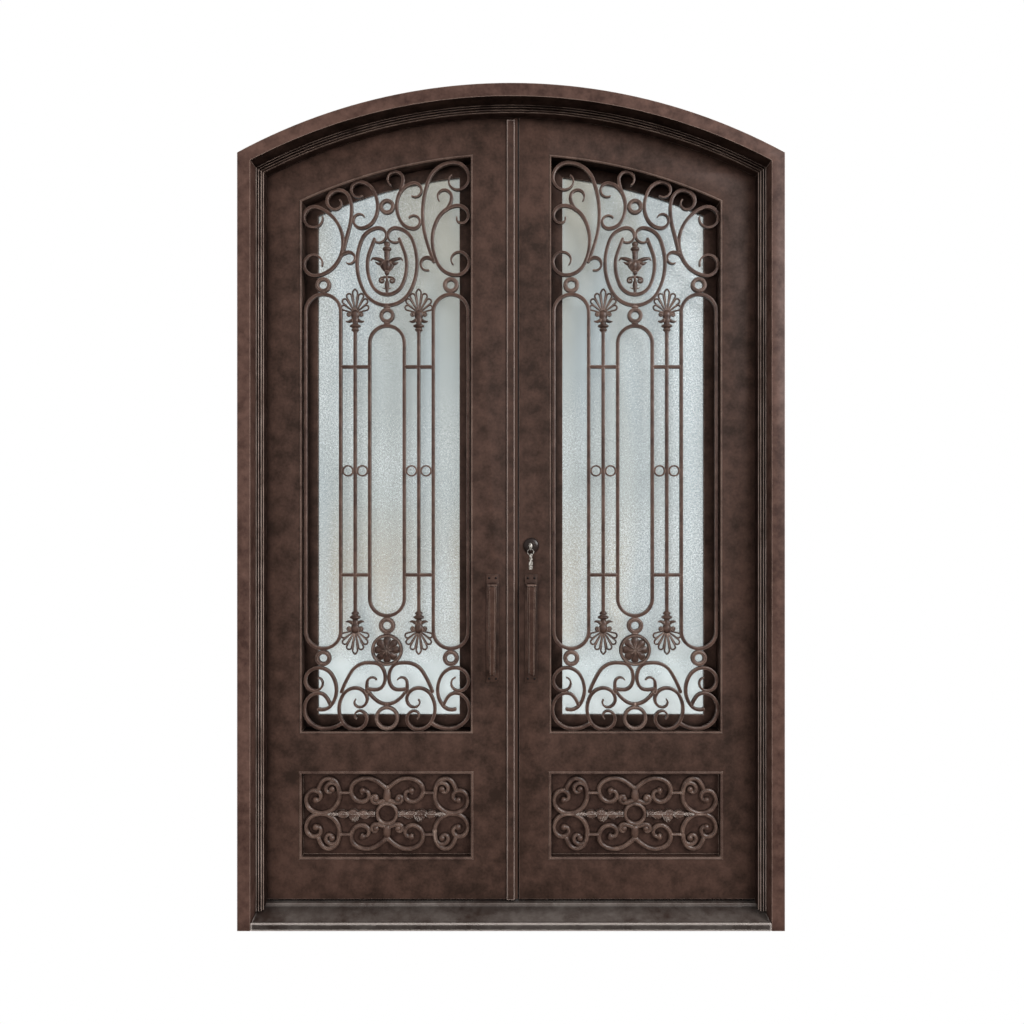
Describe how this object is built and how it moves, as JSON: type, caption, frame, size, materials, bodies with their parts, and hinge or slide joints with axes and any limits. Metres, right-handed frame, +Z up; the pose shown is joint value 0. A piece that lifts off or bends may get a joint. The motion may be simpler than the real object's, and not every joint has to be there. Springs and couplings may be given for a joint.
{
  "type": "arched double wrought iron door",
  "caption": "Arched pair of entry doors in a deep iron frame: scrollwork grilles over textured glass, ornamented kick panels, bar pulls and a keyed deadbolt.",
  "frame": {"origin": "middle of the underside of the sill, halfway through the frame's depth", "axes": "+X to the right seen from outside, +Y into the house, +Z up"},
  "size_m": [1.575, 0.188, 2.438],
  "materials": {
    "leaf_paint": "dark bronze-brown hand-rubbed paint, satin",
    "frame_paint": "bronze-brown hand-rubbed paint, satin",
    "sill_paint": "worn bronze-grey paint, satin",
    "textured_glass": "pale rain-textured glass",
    "pull_bronze": "oil-rubbed bronze",
    "hinge_steel": "painted steel",
    "seal_rubber": "black rubber",
    "key_steel": "nickel silver"
  },
  "bodies": {
    "frame": {"left_jamb": "frame_paint", "right_jamb": "frame_paint", "arch_head": "frame_paint", "threshold": "sill_paint", "left_stop_moulding": "leaf_paint", "right_stop_moulding": "leaf_paint", "head_stop_moulding": "leaf_paint", "left_frame_hinges": "hinge_steel", "right_frame_hinges": "hinge_steel"},
    "left_leaf": {"left_hinge_stile": "leaf_paint", "left_lock_stile": "leaf_paint", "left_top_rail": "leaf_paint", "left_middle_rail": "leaf_paint", "left_bottom_rail": "leaf_paint", "left_kick_panel": "leaf_paint", "left_kick_scrolls": "leaf_paint", "left_front_mouldings": "leaf_paint", "left_window_sash": "leaf_paint", "left_window_glass": "textured_glass", "left_grille_castings": "leaf_paint", "left_grille_bars": "leaf_paint", "left_grille_top_scrolls": "leaf_paint", "left_grille_bottom_scrolls": "leaf_paint", "left_leaf_hinges": "hinge_steel", "left_pulls": "pull_bronze", "left_meeting_strip": "leaf_paint", "left_meeting_seal": "seal_rubber"},
    "right_leaf": {"right_hinge_stile": "leaf_paint", "right_lock_stile": "leaf_paint", "right_top_rail": "leaf_paint", "right_middle_rail": "leaf_paint", "right_bottom_rail": "leaf_paint", "right_kick_panel": "leaf_paint", "right_kick_scrolls": "leaf_paint", "right_front_mouldings": "leaf_paint", "right_window_sash": "leaf_paint", "right_window_glass": "textured_glass", "right_grille_castings": "leaf_paint", "right_grille_bars": "leaf_paint", "right_grille_top_scrolls": "leaf_paint", "right_grille_bottom_scrolls": "leaf_paint", "right_leaf_hinges": "hinge_steel", "right_pulls": "pull_bronze", "deadbolt": "pull_bronze", "keys": "key_steel"}
  },
  "joints": [
    {"name": "left_leaf_swing", "type": "hinge", "parent": "frame", "child": "left_leaf", "pos_m": [-0.7465, 0.084, 0], "axis": [0, 0, 1], "range_deg": [0, 105]},
    {"name": "right_leaf_swing", "type": "hinge", "parent": "frame", "child": "right_leaf", "pos_m": [0.7465, 0.084, 0], "axis": [0, 0, -1], "range_deg": [0, 105]}
  ]
}
